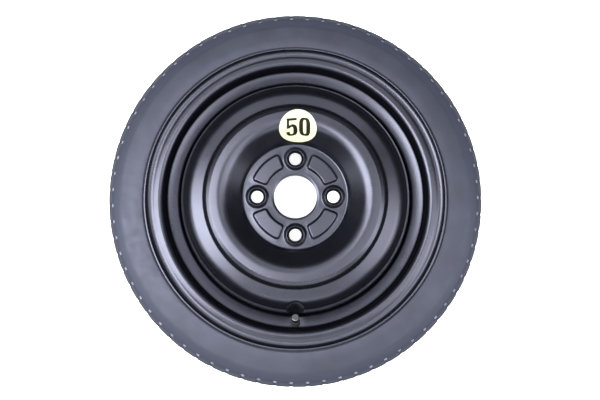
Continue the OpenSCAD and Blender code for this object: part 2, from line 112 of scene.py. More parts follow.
def rounded(corners, step):
    """An outline through (x, y) or (x, y, radius) corners, with arcs in steps of some degrees."""
    out = []
    for i, c in enumerate(corners):
        if i in (0, len(corners) - 1) or len(c) < 3:
            out.append((c[0], c[1]))
            continue
        a, b, d = (np.array(corners[k][:2], float) for k in (i - 1, i, i + 1))
        u = (a - b) / np.linalg.norm(a - b)
        v = (d - b) / np.linalg.norm(d - b)
        half = math.acos(max(-1, min(1, float(u @ v)))) / 2
        w = (u + v) / np.linalg.norm(u + v)
        centre = b + w * c[2] / math.sin(half)
        first = b + u * c[2] / math.tan(half) - centre
        last = b + v * c[2] / math.tan(half) - centre
        start = math.atan2(first[1], first[0])
        sweep = (math.atan2(last[1], last[0]) - start + math.pi) % (2 * math.pi) - math.pi
        n = max(1, math.ceil(abs(math.degrees(sweep)) / step))
        for k in range(n + 1):
            t = start + sweep * k / n
            out.append((centre[0] + c[2] * math.cos(t), centre[1] + c[2] * math.sin(t)))
    return out


def moved(line, distance):
    """The same line moved to the right of its direction."""
    p = np.array(line, float)
    d = np.diff(p, axis=0)
    d /= np.linalg.norm(d, axis=1)[:, None]
    s = np.stack([d[:, 1], -d[:, 0]], 1)
    before = np.vstack([s[:1], s])
    after = np.vstack([s, s[-1:]])
    m = before + after
    m /= np.linalg.norm(m, axis=1)[:, None]
    return [tuple(q) for q in p + distance * m / (m * after).sum(1)[:, None]]


def denser(line, longest):
    """The same line with its long steps divided."""
    out = [line[0]]
    for a, b in zip(line, line[1:]):
        n = max(1, math.ceil(math.dist(a, b) / longest))
        out += [(a[0] + (b[0] - a[0]) * k / n, a[1] + (b[1] - a[1]) * k / n)
                for k in range(1, n + 1)]
    return out


def mirrored(line):
    """The same (R, W) line on the other side of the middle plane, in the opposite order."""
    return [(r, -w) for r, w in line[::-1]]


def ring(cx, cy, r, n, z):
    """A circle of n points at height z."""
    turns = [2 * math.pi * k / n for k in range(n)]
    return [(cx + r * math.cos(t), cy + r * math.sin(t), z) for t in turns]


# Meshes

def shade(mesh, sharp):
    """Smooth shading, with sharp edges over that angle."""
    mesh.polygons.foreach_set("use_smooth", [True] * len(mesh.polygons))
    mesh.set_sharp_from_angle(angle=math.radians(sharp))


def make(name, verts, faces, sharp=40, body="wheel"):
    mesh = bpy.data.meshes.new(name)
    mesh.from_pydata([tuple(v) for v in np.asarray(verts) * MM], [], faces)
    mesh.validate()
    mesh.update()
    shade(mesh, sharp)
    ob = bpy.data.objects.new(name, mesh)
    bpy.context.scene.collection.objects.link(ob)
    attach(ob, body)
    return ob


def stand_in(ob, node, slot, *materials):
    """Gives an object its materials and lets it take a CAD node's place."""
    for m in materials:
        ob.data.materials.append(m)
    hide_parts(node)


def turned(profile, angles, closed=True, shape=None):
    """A surface turned about Z, with outward faces for a closed outline."""
    p = np.array(profile, float)
    if closed:
        area = (p[:, 0] * np.roll(p[:, 1], -1) - np.roll(p[:, 0], -1) * p[:, 1]).sum()
        if area < 0:
            p = p[::-1]
    a = np.radians(np.asarray(angles, float))
    r = np.repeat(p[None, :, 0], len(a), 0)
    z = np.repeat(p[None, :, 1], len(a), 0)
    t = np.repeat(a[:, None], len(p), 1)
    if shape:
        r, t, z = shape(r, t, z)
    verts = np.stack([r * np.cos(t), r * np.sin(t), z], 2).reshape(-1, 3)
    n, m = len(a), len(p)
    faces = []
    for j in range(n):
        k = (j + 1) % n
        for i in range(m if closed else m - 1):
            q = (i + 1) % m
            faces.append((j * m + i, k * m + i, k * m + q, j * m + q))
    return verts, faces


def at_valve(verts):
    """From the valve's own frame, with Z along its stem, to the wheel's frame."""
    v = np.asarray(verts, float)
    c, s = math.cos(FRONT_SLOPE), math.sin(FRONT_SLOPE)
    y = v[:, 1] * c + v[:, 2] * s
    z = -v[:, 1] * s + v[:, 2] * c
    return np.stack([v[:, 0], y - VALVE_R, z + VALVE_Z], 1)


def chained(loops):
    """All the loops' points in one list, and the edges that close each loop."""
    points, edges = [], []
    for loop in loops:
        first, count = len(points), len(loop)
        points += loop
        edges += [(first + k, first + (k + 1) % count) for k in range(count)]
    return points, edges


def facing(face, points, up):
    """The face's corners in the order that makes it look up, or down."""
    (x0, y0), (x1, y1), (x2, y2) = (points[i][:2] for i in face[:3])
    ccw = (x1 - x0) * (y2 - y0) - (x2 - x0) * (y1 - y0) > 0
    return tuple(face) if ccw == up else tuple(face[::-1])


def middle(face, points):
    """The mean of the face's corners, seen from above."""
    return (sum(points[i][0] for i in face) / len(face),
            sum(points[i][1] for i in face) / len(face))


def plate(rings, keep, up):
    """A plate with raised forms: a triangulation through closed rings of (x, y, z) points."""
    points, edges = chained(rings)
    flat, _, faces, source, _, _ = delaunay_2d_cdt([Vector(p[:2]) for p in points], edges, [], 0, 1e-5)
    verts = [(v.x, v.y, points[source[i][0]][2]) for i, v in enumerate(flat)]
    return verts, [facing(f, verts, up) for f in faces if keep(*middle(f, verts))]


def join(parts):
    verts, faces = [], []
    for v, f in parts:
        n = len(verts)
        verts += [tuple(p) for p in v]
        faces += [tuple(i + n for i in q) for q in f]
    return verts, faces


def weld(ob):
    """Joins points that lie on each other."""
    bm = bmesh.new()
    bm.from_mesh(ob.data)
    bmesh.ops.remove_doubles(bm, verts=bm.verts, dist=2e-6)
    bm.to_mesh(ob.data)
    bm.free()
    shade(ob.data, 40)


# Material nodes

def material(name, base, rough, metallic=0.0, spec=0.5, tint=(1, 1, 1)):
    m = bpy.data.materials.new(name)
    m.use_nodes = True
    shader = m.node_tree.nodes["Principled BSDF"]
    shader.inputs["Base Color"].default_value = (*base, 1)
    shader.inputs["Roughness"].default_value = rough
    shader.inputs["Metallic"].default_value = metallic
    shader.inputs["Specular IOR Level"].default_value = spec
    shader.inputs["Specular Tint"].default_value = (*tint, 1)
    return m, m.node_tree, shader


def noise(tree, scale, detail):
    place = tree.nodes.new("ShaderNodeTexCoord")
    n = tree.nodes.new("ShaderNodeTexNoise")
    n.inputs["Scale"].default_value = scale
    n.inputs["Detail"].default_value = detail
    tree.links.new(place.outputs["Object"], n.inputs["Vector"])
    return n.outputs["Fac"]


def ramp(tree, factor, stops):
    """Colours by a factor, through (position, colour) stops."""
    r = tree.nodes.new("ShaderNodeValToRGB")
    e = r.color_ramp.elements
    e[0].position, e[0].color = stops[0][0], (*stops[0][1], 1)
    e[1].position, e[1].color = stops[-1][0], (*stops[-1][1], 1)
    for position, colour in stops[1:-1]:
        e.new(position).color = (*colour, 1)
    tree.links.new(factor, r.inputs["Fac"])
    return r.outputs["Color"]


def spread(tree, factor, low, high):
    """A factor from 0 to 1, spread from low to high."""
    r = tree.nodes.new("ShaderNodeMapRange")
    r.inputs["To Min"].default_value = low
    r.inputs["To Max"].default_value = high
    tree.links.new(factor, r.inputs["Value"])
    return r.outputs["Result"]


def clouded(tree, shader, factor, dark, light):
    """Lets the base colour vary between two colours."""
    tree.links.new(ramp(tree, factor, [(0.3, dark), (0.7, light)]), shader.inputs["Base Color"])


def uneven(tree, shader, factor, rough, by):
    """Lets the roughness vary by that much to each side."""
    tree.links.new(spread(tree, factor, rough - by, rough + by), shader.inputs["Roughness"])


def bump(tree, shader, factor, strength, distance):
    n = tree.nodes.new("ShaderNodeBump")
    n.inputs["Strength"].default_value = strength
    n.inputs["Distance"].default_value = distance
    tree.links.new(factor, n.inputs["Height"])
    tree.links.new(n.outputs["Normal"], shader.inputs["Normal"])


def radius_between(tree, start, end):
    """0 at the first distance from the wheel's axis, in metres, and 1 at the second."""
    place = tree.nodes.new("ShaderNodeTexCoord")
    flat = tree.nodes.new("ShaderNodeVectorMath")
    flat.operation = "MULTIPLY"
    flat.inputs[1].default_value = (1, 1, 0)
    far = tree.nodes.new("ShaderNodeVectorMath")
    far.operation = "LENGTH"
    at = tree.nodes.new("ShaderNodeMapRange")
    at.inputs["From Min"].default_value = start
    at.inputs["From Max"].default_value = end
    tree.links.new(place.outputs["Object"], flat.inputs[0])
    tree.links.new(flat.outputs["Vector"], far.inputs[0])
    tree.links.new(far.outputs["Value"], at.inputs["Value"])
    return at.outputs["Result"]


def lightened_outside(m, colour, start, end):
    """Lightens a material outside a circle round the wheel's axis."""
    tree = m.node_tree
    base = tree.nodes["Principled BSDF"].inputs["Base Color"]
    mix = tree.nodes.new("ShaderNodeMix")
    mix.data_type = "RGBA"
    factor, first, second = mix.inputs[0], mix.inputs[6], mix.inputs[7]
    second.default_value = (*colour, 1)
    tree.links.new(radius_between(tree, start, end), factor)
    tree.links.new(base.links[0].from_socket, first)
    tree.links.new(mix.outputs[2], base)


def painted_light_by_radius(m, stops):
    """Paints highlight and shade into a paint through its gloss, set by distance from the wheel's
    axis, with (metres, gloss) stops.
    """
    tree = m.node_tree
    first, last = stops[0][0], stops[-1][0]
    greys = [((r - first) / (last - first), (g, g, g)) for r, g in stops]
    gloss = ramp(tree, radius_between(tree, first, last), greys)
    tree.links.new(gloss, tree.nodes["Principled BSDF"].inputs["Specular IOR Level"])


# Materials

SHEEN = (0.85, 0.88, 1.13)
BLUE = (0.8, 0.9, 1.35)
# Colour of the painted highlights in the front notches' floors
HIGHLIGHT_BLUE = (0.93, 0.96, 1.2)


def grey(v, tint=(1.0, 1.0, 1.0)):
    return tuple(v * t for t in tint)


def times(colour, by):
    return tuple(c * by for c in colour)


def paint(name, base, rough):
    """Satin black paint over pressed steel, with a slight orange peel."""
    m, tree, shader = material(name, base, rough, tint=SHEEN)
    clouded(tree, shader, noise(tree, 18, 4), times(base, 0.9), times(base, 1.12))
    uneven(tree, shader, noise(tree, 60, 3), rough, 0.05)
    bump(tree, shader, noise(tree, 700, 2), 0.04, 0.0002)
    return m


def rubber(name, base, rough):
    """Matt rubber with blotches and a fine grain."""
    m, tree, shader = material(name, base, rough, spec=0.4, tint=SHEEN)
    clouded(tree, shader, noise(tree, 30, 5), times(base, 0.7), times(base, 1.3))
    uneven(tree, shader, noise(tree, 90, 3), rough, 0.1)
    bump(tree, shader, noise(tree, 1500, 2), 0.2, 0.0001)
    return m


def metal(name, base, rough):
    m, tree, shader = material(name, base, rough, metallic=1.0)
    clouded(tree, shader, noise(tree, 300, 4), times(base, 0.85), base)
    uneven(tree, shader, noise(tree, 900, 3), rough, 0.07)
    return m


paint_disc = paint("disc_paint", grey(0.003, BLUE), 0.29)
paint_rim = paint("rim_paint", grey(0.003, BLUE), 0.29)
# Painted light: more gloss on the well's slope, as a painted highlight there, and almost no gloss on
# the seat's wall, as painted shade in the dark ring
painted_light_by_radius(paint_rim, [(0.154, 0.5), (0.158, 0.85), (0.1705, 0.85),
                            (0.1725, 0.08), (0.1752, 0.08), (0.1775, 0.5)])
paint_weld = paint("weld_paint", grey(0.045, BLUE), 0.5)
tyre_rubber = rubber("tyre_rubber", grey(0.016, BLUE), 0.5)
# The tyre's rubber is made lighter outside 229.5 mm from the axis
lightened_outside(tyre_rubber, grey(0.03, BLUE), 0.2295, 0.234)
# Lighter rubber for the front notches' floors: painted highlights where the notches glint
notch_highlight = rubber("tyre_notch_highlight", grey(0.17, HIGHLIGHT_BLUE), 0.6)
valve_black = rubber("valve_black", grey(0.018), 0.5)
soft_black = rubber("soft_black", grey(0.02), 0.55)
soft_red = rubber("soft_red", (0.42, 0.05, 0.035), 0.5)
brass = metal("brass", (0.72, 0.53, 0.25), 0.3)
steel = metal("steel", (0.55, 0.56, 0.58), 0.28)
cap_metal = metal("cap_metal", (0.09, 0.094, 0.104), 0.42)


def label_vinyl():
    m, tree, shader = material("label_vinyl", (0.42, 0.45, 0.27), 0.45, spec=0.4)
    clouded(tree, shader, noise(tree, 40, 3), (0.40, 0.43, 0.24), (0.44, 0.47, 0.31))
    bump(tree, shader, noise(tree, 150, 2), 0.05, 0.0002)
    return m


def label_ink():
    m, tree, shader = material("label_ink", (0.006, 0.006, 0.004), 0.6, spec=0.08)
    clouded(tree, shader, noise(tree, 60, 3), (0.005, 0.005, 0.003), (0.008, 0.008, 0.005))
    return m


# Tyre

def crown(w):
    """The tread's radius, which falls a little from its middle."""
    return TYRE_R - 0.5 * min(1, abs(w) / (TREAD_HALF / 2)) ** 2


def tread_grooves():
    """Half of the tread's three grooves, from the shoulder to the middle."""
    depth, mouth, floor = 4.5, 2.9, 2.1
    points = []
    for c in (17.0, 0.0):
        points += [(c + mouth, 0), (c + floor, depth), (c - floor, depth), (c - mouth, 0)]
    return [(crown(w) - d, w) for w, d in points if w > 0]


def tyre_step(r, w):
    """Longest step of the tyre's outline: short where the notches need it."""
    if w > TREAD_HALF and r > TYRE_R - 11.3:
        return 1.6
    if w > NOTCH_END_W and r > TYRE_R - 13.3:
        return 3
    return 14


def tyre_section():
    """The casing's closed outline: the outside, then the hollow inside."""
    face = HALF_W - FIT
    wall = face - FLANGE_LEAN
    toe = HALF_W - BEAD_W
    toe_r = SEAT_R - BEAD_W * math.tan(SEAT_TAPER) + FIT
    outer = rounded([
        (toe_r, toe),
        (SEAT_R + FIT, face, 5.4),
        (FLANGE_R - 8, wall),
        (FLANGE_R - FIT, wall + 0.4, 4),
        (FLANGE_R + 3.6, TYRE_HALF - 0.8, 4),
        (FLANGE_R + 10, TYRE_HALF, 60),
        (TYRE_R - 20, TYRE_HALF - 1.2, 20),
        (TYRE_R - 9, TREAD_HALF + 6.2, 12),
        (TYRE_R - 2, TREAD_HALF, 4),
        (TYRE_R - 0.5, TREAD_HALF / 2),
    ], 8)
    coarse = outer[:-1] + tread_grooves()
    half = []
    for a, b in zip(coarse, coarse[1:]):
        half += denser([a, b], tyre_step(*a))[:-1]
    half.append(coarse[-1])
    inner = rounded([
        (TYRE_R - 11, 0),
        (TYRE_R - 12, TREAD_HALF - 4, 12),
        (TYRE_R - 26, TYRE_HALF - 5.5, 10),
        (SEAT_R + 26, TYRE_HALF - 5.5, 10),
        (SEAT_R + 13, toe + 8, 10),
        (toe_r + 2, toe),
    ], 20)
    return half + mirrored(half) + mirrored(inner) + inner[1:]


def from_notch(degrees, phase):
    """Angle from the nearest notch, for notches that start at a part of the pitch."""
    return np.abs((degrees / NOTCH_PITCH - phase + 0.5) % 1 - 0.5) * NOTCH_PITCH


def notched(r, t, z):
    """Cuts the notches into both shoulders, those of the rear one half a pitch further on."""
    depth, lowest, fall = 3, 8.7, math.tan(math.radians(75))
    for side, phase in ((1, 0), (-1, 0.5)):
        off = from_notch(np.degrees(t), phase)
        cut = np.clip((NOTCH_MOUTH - off) / (NOTCH_MOUTH - NOTCH_FLOOR), 0, 1)
        w = z * side
        floor = TYRE_R - depth - fall * np.maximum(w - TREAD_HALF - 1, 0)
        floor = np.maximum(floor, TYRE_R - lowest)
        hit = (w > NOTCH_END_W) & (r > floor)
        r = np.where(hit, r + (floor - r) * cut, r)
    return r, t, z


def tyre():
    angles = []
    for i in range(NOTCHES):
        for phase in (0, 0.5):
            c = (i + phase) * NOTCH_PITCH
            angles += [c - NOTCH_MOUTH, c - NOTCH_FLOOR, c + NOTCH_FLOOR, c + NOTCH_MOUTH,
                       c + NOTCH_PITCH / 4]
    verts, faces = turned(tyre_section(), sorted(angles), shape=notched)
    verts[:, 2] += MID_Z
    ob = make("tyre_rubber", verts, faces, 38)
    stand_in(ob, "tyre", "tyre", tyre_rubber, notch_highlight)
    # The floors of the front notches are painted lighter, as painted highlights where the notches
    # glint
    for p in ob.data.polygons:
        x, y, z = (c / MM for c in p.center)
        low = TYRE_R - 9.5 < math.hypot(x, y) < TYRE_R - 5.2
        on_floor = from_notch(math.degrees(math.atan2(y, x)), 0) < NOTCH_FLOOR
        if z - MID_Z > TREAD_HALF + 0.8 and low and on_floor:
            p.material_index = 1


tyre()


# Rim

def dip(r):
    """Depth of the shallow ring that is rolled into the flange's face before it curls up."""
    depth, at, width = 0.42, 189.3, 2
    return depth * math.exp(-((r - at) / width) ** 2)


def rim_section():
    """The rim's closed outline, from one lip to the other and back."""
    chamfer = 0.8
    corner, corner_w = 0.25, LIP_W - 0.2
    half = [
        (FLANGE_R, LIP_W - chamfer),
        (FLANGE_R, HALF_W - FLANGE_LEAN, 8),
        (SEAT_R, HALF_W, 5),
        (SEAT_END_R, SEAT_END_W, 4),
    ]
    well = [(WELL_R, FRONT_W, 2), (WELL_R, REAR_W, 8)]
    line = rounded(half + well + [(r, -w, *bend) for r, w, *bend in half[::-1]], 5)
    fine = []
    for a, b in zip(line, line[1:]):
        on_flange = (SEAT_R < a[0] < FLANGE_R and abs(a[1]) > SEAT_END_W
                     and abs(b[1]) > HALF_W - FLANGE_LEAN - 0.1)
        fine += denser([a, b], 0.9 if on_flange else 8)[:-1]
    fine.append(line[-1])
    inside = [(r, w - math.copysign(dip(r), w) if abs(w) > HALF_W else w)
              for r, w in moved(fine, RIM_T)]
    lip = [
        (FLANGE_R - corner, corner_w),
        (FLANGE_R - chamfer, LIP_W),
        (FLANGE_R - RIM_T + chamfer, LIP_W),
        (FLANGE_R - RIM_T + corner, corner_w),
    ]
    return lip[::-1] + fine + [(r, -w) for r, w in lip] + inside[::-1]


def cut_valve_hole(ob):
    low, high, centre_r = -6, 4, 0.001
    outline = [(centre_r, low), (VALVE_HOLE_R, low), (VALVE_HOLE_R, high), (centre_r, high)]
    verts, faces = turned(outline, np.arange(0, 360, 7.5))
    cutter = make("hole_cutter", at_valve(verts), faces)
    cut = ob.modifiers.new("valve_hole", "BOOLEAN")
    cut.operation, cut.object, cut.solver = "DIFFERENCE", cutter, "EXACT"
    result = ob.evaluated_get(bpy.context.evaluated_depsgraph_get())
    mesh = bpy.data.meshes.new_from_object(result)
    ob.modifiers.clear()
    ob.data = mesh
    bpy.data.objects.remove(cutter)
    shade(mesh, 40)
    mesh.materials.clear()


def rim():
    verts, faces = turned(rim_section(), np.arange(0, 360, 1.2))
    verts[:, 2] += MID_Z
    ob = make("rim_steel", verts, faces)
    cut_valve_hole(ob)
    stand_in(ob, "rim", "rim_paint", paint_rim)


rim()


# Disc

disc_line = rounded([
    (BORE_R, DISC_T),
    (PLATE_R, DISC_T, 3),
    (72.2, 8.3, 5),
    (94.2, CREST_H, 24),
    (110, CREST_H, 5),
    (115.3, CREST_END, 2.5),
    (119.7, TIER_H, 3),
    (144.5, TIER_H - 3.8, 20),
    (151, -8, 16),
    (SKIRT_R, SKIRT_END + 24, 20),
    (SKIRT_R, SKIRT_END),
], 4)

# Steps of 1.2 degrees, and of 0.4 degrees round the valve's pocket at 270
disc_angles = [a for a in np.arange(0, 360, 1.2) if abs((a - 270 + 180) % 360 - 180) > 7.6]
disc_angles = sorted(disc_angles + list(np.arange(262.6, 277.5, 0.4)))

# Pressed forms as (distance, height) pairs. Distances are from a bolt's axis, from the bore
# or inwards from a pad's outline. Heights of BORE_FACE and PAD_FACE are over the plate's front,
# the others over its back.
BOSS_FACE = ((8.001, 1.5), (10.6, 6.02), (10.9, 6.45), (11.2, 6.66), (11.4, 6.7), (11.6, 6.68),
             (11.9, 6.5), (12.2, 6.2), (12.6, 5.85), (15.1, 3.85), (15.5, 3.62), (15.9, 3.52),
             (16.4, 3.5))
BOSS_BACK = ((8.001, 1.0), (10.6, 1.0), (10.8, 0.95), (11.7, 0.05), (11.9, 0), (12.4, 0))
BORE_FACE = ((0.001, -1.2), (2.7, -0.1), (3.1, -0.01), (3.6, 0))
PAD_FACE = ((-0.9, 0), (-0.7, 0.03), (-0.4, 0.2), (0.0, 0.52), (1.8, 2.02), (2.1, 2.24),
            (2.5, 2.37), (3.0, 2.4), (3.6, 2.4))
PAD_BACK = ((0.2, 0), (0.6, 0.1), (2.6, 2.25), (3.0, 2.4))
PAD_ANGLES = (45, 135, 225, 315)
BOLTS = [(BOLT_CIRCLE_R * math.cos(math.radians(a)), BOLT_CIRCLE_R * math.sin(math.radians(a)))
         for a in (0, 90, 180, 270)]


def kidney(inset, angle):
    """One pad's outline, drawn smaller by inset, round that angle."""
    corner, half = 4.5, 24
    far, near = 60.8, 40.1
    out_r, in_r = far - corner, near + corner
    bend = corner - inset
    out_a = half - math.degrees(math.asin(corner / out_r))
    in_a = half - math.degrees(math.asin(corner / in_r))
    side = half + 90
    points = []

    def arc(centre_r, centre_a, r, a, b, n, ends=True):
        t0 = math.radians(centre_a)
        for k in range(0 if ends else 1, n + 1 if ends else n):
            t = math.radians(a + (b - a) * k / n)
            points.append((centre_r * math.cos(t0) + r * math.cos(t),
                           centre_r * math.sin(t0) + r * math.sin(t)))

    arc(0, 0, far - inset, -out_a, out_a, 26, False)
    arc(out_r, out_a, bend, out_a, side, 9)
    arc(in_r, in_a, bend, side, in_a + 180, 9)
    arc(0, 0, near + inset, in_a, -in_a, 20, False)
    arc(in_r, -in_a, bend, 180 - in_a, 360 - side, 9)
    arc(out_r, -out_a, bend, 360 - side, 360 - out_a, 9)
    c, s = math.cos(math.radians(angle)), math.sin(math.radians(angle))
    return [(x * c - y * s, x * s + y * c) for x, y in points]


def disc_edge(r, z):
    return [(r * math.cos(math.radians(a)), r * math.sin(math.radians(a)), z)
            for a in disc_angles]


def on_plate(cx, cy, outer):
    """Whether a point lies on the plate's sheet, not in the bore or a bolt hole."""
    clear = all(math.hypot(cx - x, cy - y) > BOLT_HOLE_R for x, y in BOLTS)
    return BORE_R < math.hypot(cx, cy) < outer and clear


def plate_face():
    """The plate's front, with bosses and pads."""
    outer = disc_line[1][0]
    rings = [disc_edge(outer, DISC_T)]
    rings += [ring(0, 0, BORE_R + d, 180, DISC_T + z) for d, z in BORE_FACE]
    for x, y in BOLTS:
        rings += [ring(x, y, r, 72, z) for r, z in BOSS_FACE]
    for a in PAD_ANGLES:
        rings += [[(x, y, DISC_T + z) for x, y in kidney(inset, a)] for inset, z in PAD_FACE]
    return plate(rings, lambda x, y: on_plate(x, y, outer), True)


def plate_back(outer):
    """The plate's back, recessed behind the bosses and pads."""
    rings = [disc_edge(outer, 0)]
    rings += [ring(0, 0, BORE_R + d, 180, 0) for d in (0.001, 0.5)]
    for x, y in BOLTS:
        rings += [ring(x, y, r, 48, z) for r, z in BOSS_BACK]
    for a in PAD_ANGLES:
        rings += [[(x, y, z) for x, y in kidney(inset, a)] for inset, z in PAD_BACK]
    return plate(rings, lambda x, y: on_plate(x, y, outer), False)


def hole_walls():
    """The bore's wall and the bolt holes' walls, from the front ring to the back one."""
    bore_r = BORE_R + BORE_FACE[0][0]
    top = DISC_T + BORE_FACE[0][1]
    walls = [turned([(bore_r, top), (bore_r, 0)], np.arange(0, 360, 2), closed=False)]
    for x, y in BOLTS:
        v, f = turned([BOSS_FACE[0], BOSS_BACK[0]], np.arange(0, 360, 5), closed=False)
        v[:, 0] += x
        v[:, 1] += y
        walls.append((v, f))
    return walls


def disc_shell(back_line):
    """The disc outside its plate, front and back, with the valve's pocket pressed in."""
    front = denser(disc_line[1:], 3.0)
    back = [(SKIRT_R - DISC_T, SKIRT_END)] + denser(back_line[1:-1], 6.0)[::-1]
    c, s = math.cos(FRONT_SLOPE), math.sin(FRONT_SLOPE)
    blend, flare, margin = 2.2, 2.0, 3

    def pocket(r, a, z):
        x, y = r * np.cos(a), r * np.sin(a)
        across = (y + VALVE_R) * c - (z - VALVE_Z) * s
        along = (y + VALVE_R) * s + (z - VALVE_Z) * c
        reach = np.full_like(r, POCKET_R)
        reach[:, :len(back)] += DISC_T
        room = (np.clip(reach ** 2 - x ** 2, 0, None) ** 0.5
                - flare * np.clip(np.abs(x) - reach, 0, None))
        target = POCKET_OFFSET + room
        h = np.clip(0.5 + 0.5 * (target - across) / blend, 0, 1)
        pressed = across * (1 - h) + target * h + blend * h * (1 - h)
        beside_valve = (np.abs(x) < reach + margin) & (y < -100)
        in_depth = (along > -12) & (across > -20)
        across = np.where(beside_valve & in_depth, pressed, across)
        y2 = across * c + along * s - VALVE_R
        z2 = -across * s + along * c + VALVE_Z
        return np.hypot(x, y2), np.arctan2(y2, x), z2

    return turned((front + back)[::-1], disc_angles, closed=False, shape=pocket)


def disc():
    back_line = moved(disc_line, DISC_T)
    parts = [plate_face(), plate_back(back_line[1][0]), *hole_walls(), disc_shell(back_line)]
    ob = make("disc_steel", *join(parts))
    weld(ob)
    stand_in(ob, "disc", "disc_paint", paint_disc)


disc()


# Label

LABEL_R = 24.65
LABEL_H = 22.5
LABEL_T = 0.28
LABEL_LIFT = 0.05
LABEL_GAP = 3.6
LABEL_MID = PLATE_R - BORE_R + LABEL_GAP + LABEL_R
LABEL_TURN = math.radians(2.2)
face_points = np.array(disc_line, float)
face_steps = np.linalg.norm(np.diff(face_points, axis=0), axis=1)
face_lengths = np.concatenate([[0], np.cumsum(face_steps)])


def face_at(s):
    """The disc's face in (R, Z), at a length along it from the bore."""
    return (np.interp(s, face_lengths, face_points[:, 0]),
            np.interp(s, face_lengths, face_points[:, 1]))


def on_face(u, v, height):
    """A point u to the right of the label's middle, v outwards and raised over the disc."""
    s = LABEL_MID + v
    reach = 0.5
    r0, z = face_at(s)
    after, before = face_at(s + reach), face_at(s - reach)
    dr, dz = after[0] - before[0], after[1] - before[1]
    n = math.hypot(dr, dz)
    r, z = r0 - dz / n * height, z + dr / n * height
    a = math.pi / 2 - LABEL_TURN - u / r0
    return (r * math.cos(a), r * math.sin(a), z)


def inside(x, y, loop):
    hit = False
    for (x0, y0), (x1, y1) in zip(loop, loop[1:] + loop[:1]):
        if (y0 > y) != (y1 > y) and x < (x1 - x0) * (y - y0) / (y1 - y0) + x0:
            hit = not hit
    return hit


def patch(name, outline, holes, height, thick, step):
    """A thin sheet with that outline, laid on the disc's face."""
    points, edges = chained([outline] + holes)
    us, vs = [p[0] for p in outline], [p[1] for p in outline]

    def within(x, y):
        return inside(x, y, outline) and not any(inside(x, y, h) for h in holes)

    for u in np.arange(min(us) + step / 2, max(us), step):
        for v in np.arange(min(vs) + step / 2, max(vs), step):
            if within(u, v):
                points.append((u, v))
    found, _, cells, _, _, _ = delaunay_2d_cdt([Vector(p) for p in points], edges, [], 0, 1e-5)
    flat = [(v.x, v.y) for v in found]
    top = [facing(f, flat, True) for f in cells if within(*middle(f, flat))]
    n = len(flat)
    verts = ([on_face(u, v, height + thick) for u, v in flat]
             + [on_face(u, v, height) for u, v in flat])
    sides = [(a, b) for f in top for a, b in zip(f, f[1:] + f[:1])]
    shared = set(sides)
    faces = top + [tuple(n + i for i in f[::-1]) for f in top]
    faces += [(b, a, n + a, n + b) for a, b in sides if (b, a) not in shared]
    return make(name, verts, faces)


def oval(w, h, power=3.2, n=56):
    """A full oval, between an ellipse and a rectangle."""
    out = []
    for k in range(n):
        c, s = math.cos(2 * math.pi * k / n), math.sin(2 * math.pi * k / n)
        out.append((w / 2 * math.copysign(abs(c) ** (2 / power), c),
                    h / 2 * math.copysign(abs(s) ** (2 / power), s)))
    return out


# A five, clockwise from the left end of its bar
FIVE = [
    (-6.8, 12), (6.6, 12), (6.6, 8.7), (-3.0, 8.7), (-3.0, 2.3), (-1.3, 3.5), (1.2, 4.0),
    (4.2, 3.4), (6.3, 1.5), (7.3, -1.2), (7.6, -4.5), (7.2, -8), (5.8, -10.6), (3.4, -12),
    (0.2, -12.4), (-3.2, -12), (-5.7, -10.7), (-7.0, -8.6), (-7.2, -6.0), (-2.6, -6.0),
    (-2.4, -8.2), (-1.4, -9.5), (0.2, -9.7), (1.6, -8.9), (2.1, -7.0), (2.1, -2.5),
    (1.6, -0.5), (0.3, 0.4), (-1.4, 0.0), (-2.4, -1.4), (-6.8, -1.4),
]


def digit(points, cx):
    """A digit's outline moved to its place on the label, with the number's slight tilt."""
    tilt, cy = math.radians(2.5), -1.2
    c, s = math.cos(tilt), math.sin(tilt)
    return [((x + cx) * c - (y + cy) * s, (x + cx) * s + (y + cy) * c) for x, y in points]


def label():
    turns = [2 * math.pi * k / 96 for k in range(96)]
    border = [(LABEL_R * math.cos(t), LABEL_H * math.sin(t) - 0.6) for t in turns]
    ob = patch("label_vinyl", border, [], LABEL_LIFT, LABEL_T, 1.7)
    stand_in(ob, "label", "label", label_vinyl())
    ink = label_ink()
    over, ink_t, step = LABEL_LIFT + LABEL_T, 0.05, 1.5
    nought, hollow = digit(oval(14.8, 24.4), 8.7), digit(oval(4.2, 18.6), 8.7)
    for ob in (patch("label_nought", nought, [hollow], over, ink_t, step),
               patch("label_five", digit(FIVE, -8.2), [], over, ink_t, step)):
        ob.data.materials.append(ink)


label()


# Valve, in a frame of its own with Z along the stem and 0 on the rim's front face

STEM_TIP = 20.5
RUBBER_TOP = 12.0
THREAD_R = 3.85
THREAD_PITCH = 0.794
THREAD_DEPTH = 0.42
THREAD_START = RUBBER_TOP + 0.2
CAP_LOW = 12.3
CAP_HIGH = 22.3
CAP_R = 5.2
CAP_GRIPS = 18


def valve_rubber():
    foot = -RIM_T - FIT
    outline = rounded([
        (3.15, foot - 3.6), (6.6, foot - 3.6, 0.4), (8.2, foot - 2.6, 0.3),
        (8.2, foot - 1.8, 0.5), (6.6, foot, 0.2), (5.65, foot), (5.65, 0.1), (6.6, 0.1, 0.3),
        (6.6, 2.4, 1.2), (6.0, 5, 3), (5.6, RUBBER_TOP - 0.8, 0.5), (4.8, RUBBER_TOP, 0.2),
        (3.15, RUBBER_TOP),
    ], 12)
    v, f = turned(outline, np.arange(0, 360, 7.5))
    ob = make("valve_rubber_skin", at_valve(v), f, 45)
    stand_in(ob, "valve_rubber", "valve_rubber", valve_black)


